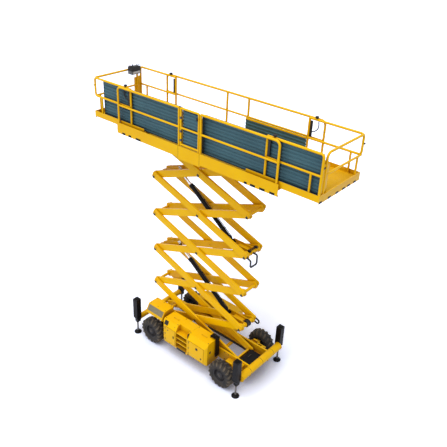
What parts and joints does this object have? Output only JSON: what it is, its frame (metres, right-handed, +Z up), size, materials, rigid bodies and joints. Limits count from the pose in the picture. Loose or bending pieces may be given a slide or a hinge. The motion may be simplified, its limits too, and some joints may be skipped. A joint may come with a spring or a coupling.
{
  "type": "scissor lift",
  "caption": "Self-propelled rough-terrain scissor lift, half raised, with stabilisers down and a railed work platform extended at both ends.",
  "frame": {"origin": "on the ground, under the middle of the work platform", "axes": "+X to the front (the steered axle), +Y to the left-hand side, +Z up"},
  "size_m": [7.68, 2.33, 8.335],
  "materials": {
    "yellow_paint": "semi-gloss",
    "black_paint": "satin",
    "rim_paint": "satin",
    "dark_steel": "satin",
    "bare_steel": "satin",
    "cast_iron": "rough",
    "chrome": "polished",
    "panel_teal": "satin",
    "tyre_rubber": "matt",
    "grey_plastic": "matt",
    "hose_rubber": "satin"
  },
  "bodies": {
    "chassis": {"chassis_frame": "yellow_paint", "end_beams": "yellow_paint", "engine_block": "cast_iron", "engine_pod": "yellow_paint", "front_tray": "black_paint", "front_yokes": "yellow_paint", "left_pods": "yellow_paint", "rear_carriers": "dark_steel", "rear_hood": "yellow_paint", "stabiliser_housings": "black_paint", "tank_pod": "yellow_paint", "wheel_guard": "black_paint"},
    "inner_1": {"inner_arms_1": "yellow_paint"},
    "outer_1": {"outer_arms_1": "yellow_paint", "lower_rollers": "dark_steel"},
    "inner_2": {"inner_arms_2": "yellow_paint"},
    "outer_2": {"outer_arms_2": "yellow_paint", "lower_cylinder_cradle": "yellow_paint", "hoses_lower": "hose_rubber"},
    "inner_3": {"inner_arms_3": "yellow_paint"},
    "outer_3": {"outer_arms_3": "yellow_paint"},
    "inner_4": {"inner_arms_4": "yellow_paint"},
    "outer_4": {"outer_arms_4": "yellow_paint", "upper_cylinder_cradle": "yellow_paint", "hose_upper": "hose_rubber"},
    "inner_5": {"inner_arms_5": "yellow_paint", "upper_rollers": "dark_steel"},
    "outer_5": {"outer_arms_5": "yellow_paint"},
    "platform": {"main_deck": "yellow_paint", "main_rails": "yellow_paint", "main_panels": "panel_teal"},
    "gate": {"gate_frame": "yellow_paint", "gate_panel": "panel_teal"},
    "front_extension": {"front_extension_deck": "yellow_paint", "front_extension_panel": "panel_teal", "front_extension_rails": "yellow_paint"},
    "rear_extension": {"rear_extension_deck": "yellow_paint", "rear_extension_panel": "panel_teal", "rear_extension_rails": "yellow_paint", "control_box": "grey_plastic"},
    "wheel_front_right": {"tyre_front_right": "tyre_rubber", "rim_front_right": "rim_paint"},
    "wheel_front_left": {"tyre_front_left": "tyre_rubber", "rim_front_left": "rim_paint"},
    "wheel_rear_right": {"tyre_rear_right": "tyre_rubber", "rim_rear_right": "rim_paint"},
    "wheel_rear_left": {"tyre_rear_left": "tyre_rubber", "rim_rear_left": "rim_paint"},
    "leg_front_right": {"stabiliser_leg_front_right": "bare_steel"},
    "leg_front_left": {"stabiliser_leg_front_left": "bare_steel"},
    "leg_rear_right": {"stabiliser_leg_rear_right": "bare_steel"},
    "leg_rear_left": {"stabiliser_leg_rear_left": "bare_steel"},
    "steer_right": {"knuckle_right": "dark_steel"},
    "steer_left": {"knuckle_left": "dark_steel"},
    "lower_barrel": {"lower_cylinder_barrel": "black_paint"},
    "lower_ram": {"lower_cylinder_rod": "chrome"},
    "upper_barrel": {"upper_cylinder_barrel": "black_paint"},
    "upper_ram": {"upper_cylinder_rod": "chrome"},
    "engine_door": {"engine_door": "yellow_paint"},
    "tank_door": {"tank_door": "yellow_paint"}
  },
  "joints": [
    {"name": "lift", "type": "hinge", "parent": "chassis", "child": "inner_1", "pos_m": [-2, 0, 0.56], "axis": [0, -1, 0], "range_deg": [-16.4, 34.6]},
    {"name": "centre_pin_1", "type": "hinge", "parent": "inner_1", "child": "outer_1", "pos_m": [-0.24761, 0, 1.1909], "axis": [0, -1, 0], "range_deg": [-69.4, 33]},
    {"name": "rear_pin_1", "type": "hinge", "parent": "outer_1", "child": "inner_2", "pos_m": [-2, 0, 1.8218], "axis": [0, -1, 0], "range_deg": [-33, 69.4]},
    {"name": "centre_pin_2", "type": "hinge", "parent": "inner_2", "child": "outer_2", "pos_m": [-0.24761, 0, 2.4527], "axis": [0, -1, 0], "range_deg": [-69.4, 33]},
    {"name": "rear_pin_2", "type": "hinge", "parent": "outer_2", "child": "inner_3", "pos_m": [-2, 0, 3.0836], "axis": [0, -1, 0], "range_deg": [-33, 69.4]},
    {"name": "centre_pin_3", "type": "hinge", "parent": "inner_3", "child": "outer_3", "pos_m": [-0.24761, 0, 3.7145], "axis": [0, -1, 0], "range_deg": [-69.4, 33]},
    {"name": "rear_pin_3", "type": "hinge", "parent": "outer_3", "child": "inner_4", "pos_m": [-2, 0, 4.3454], "axis": [0, -1, 0], "range_deg": [-33, 69.4]},
    {"name": "centre_pin_4", "type": "hinge", "parent": "inner_4", "child": "outer_4", "pos_m": [-0.24761, 0, 4.9763], "axis": [0, -1, 0], "range_deg": [-69.4, 33]},
    {"name": "rear_pin_4", "type": "hinge", "parent": "outer_4", "child": "inner_5", "pos_m": [-2, 0, 5.60719], "axis": [0, -1, 0], "range_deg": [-33, 69.4]},
    {"name": "centre_pin_5", "type": "hinge", "parent": "inner_5", "child": "outer_5", "pos_m": [-0.24761, 0, 6.23809], "axis": [0, -1, 0], "range_deg": [-69.4, 33]},
    {"name": "platform_pin", "type": "hinge", "parent": "outer_5", "child": "platform", "pos_m": [-2, 0, 6.86899], "axis": [0, -1, 0], "range_deg": [-16.5, 34.7]},
    {"name": "lower_cylinder_pivot", "type": "hinge", "parent": "outer_2", "child": "lower_barrel", "pos_m": [0.7867, 0, 1.81993], "axis": [0, -1, 0], "range_deg": [-2.71, 1.44]},
    {"name": "lower_cylinder_slide", "type": "slide", "parent": "lower_barrel", "child": "lower_ram", "axis": [-0.7985, 0, 0.602], "range_m": [-0.3756, 0.7892]},
    {"name": "upper_cylinder_pivot", "type": "hinge", "parent": "outer_4", "child": "upper_barrel", "pos_m": [0.7867, 0, 4.34353], "axis": [0, -1, 0], "range_deg": [-2.71, 1.44]},
    {"name": "upper_cylinder_slide", "type": "slide", "parent": "upper_barrel", "child": "upper_ram", "axis": [-0.7985, 0, 0.602], "range_m": [-0.3756, 0.7892]},
    {"name": "steer_right", "type": "hinge", "parent": "chassis", "child": "steer_right", "pos_m": [1.42, -0.8, 0.43], "axis": [0, 0, 1], "range_deg": [-30, 30]},
    {"name": "steer_left", "type": "hinge", "parent": "chassis", "child": "steer_left", "pos_m": [1.42, 0.8, 0.43], "axis": [0, 0, 1], "range_deg": [-30, 30]},
    {"name": "wheel_front_right", "type": "hinge", "parent": "steer_right", "child": "wheel_front_right", "pos_m": [1.42, -0.97, 0.43], "axis": [0, 1, 0], "continuous": true},
    {"name": "wheel_front_left", "type": "hinge", "parent": "steer_left", "child": "wheel_front_left", "pos_m": [1.42, 0.97, 0.43], "axis": [0, 1, 0], "continuous": true},
    {"name": "wheel_rear_right", "type": "hinge", "parent": "chassis", "child": "wheel_rear_right", "pos_m": [-1.5, -0.97, 0.43], "axis": [0, 1, 0], "continuous": true},
    {"name": "wheel_rear_left", "type": "hinge", "parent": "chassis", "child": "wheel_rear_left", "pos_m": [-1.5, 0.97, 0.43], "axis": [0, 1, 0], "continuous": true},
    {"name": "leg_front_right", "type": "slide", "parent": "chassis", "child": "leg_front_right", "axis": [0, 0, 1], "range_m": [0, 0.3]},
    {"name": "leg_front_left", "type": "slide", "parent": "chassis", "child": "leg_front_left", "axis": [0, 0, 1], "range_m": [0, 0.3]},
    {"name": "leg_rear_right", "type": "slide", "parent": "chassis", "child": "leg_rear_right", "axis": [0, 0, 1], "range_m": [0, 0.3]},
    {"name": "leg_rear_left", "type": "slide", "parent": "chassis", "child": "leg_rear_left", "axis": [0, 0, 1], "range_m": [0, 0.3]},
    {"name": "front_extension_slide", "type": "slide", "parent": "platform", "child": "front_extension", "axis": [1, 0, 0], "range_m": [-0.96, 0]},
    {"name": "rear_extension_slide", "type": "slide", "parent": "platform", "child": "rear_extension", "axis": [-1, 0, 0], "range_m": [-0.96, 0]},
    {"name": "gate_hinge", "type": "hinge", "parent": "platform", "child": "gate", "pos_m": [-0.345, -0.946, 7.5], "axis": [0, 0, 1], "range_deg": [0, 90]},
    {"name": "engine_door_hinge", "type": "hinge", "parent": "chassis", "child": "engine_door", "pos_m": [-0.824, -1.12, 0.8], "axis": [0, 0, -1], "range_deg": [0, 110]},
    {"name": "tank_door_hinge", "type": "hinge", "parent": "chassis", "child": "tank_door", "pos_m": [0.181, -1.12, 0.8], "axis": [0, 0, -1], "range_deg": [0, 110]}
  ],
  "couplings": [
    {"joint": "centre_pin_1", "follows": "lift", "ratio": -2},
    {"joint": "rear_pin_1", "follows": "lift", "ratio": 2},
    {"joint": "centre_pin_2", "follows": "lift", "ratio": -2},
    {"joint": "rear_pin_2", "follows": "lift", "ratio": 2},
    {"joint": "centre_pin_3", "follows": "lift", "ratio": -2},
    {"joint": "rear_pin_3", "follows": "lift", "ratio": 2},
    {"joint": "centre_pin_4", "follows": "lift", "ratio": -2},
    {"joint": "rear_pin_4", "follows": "lift", "ratio": 2},
    {"joint": "centre_pin_5", "follows": "lift", "ratio": -2},
    {"joint": "platform_pin", "follows": "lift", "ratio": 1},
    {"joint": "lower_cylinder_pivot", "follows": "lift", "ratio": -0.06951},
    {"joint": "lower_cylinder_slide", "follows": "lift", "m_per_rad": 1.3019},
    {"joint": "upper_cylinder_pivot", "follows": "lift", "ratio": -0.06951},
    {"joint": "upper_cylinder_slide", "follows": "lift", "m_per_rad": 1.3019},
    {"joint": "steer_left", "follows": "steer_right", "ratio": 1}
  ]
}
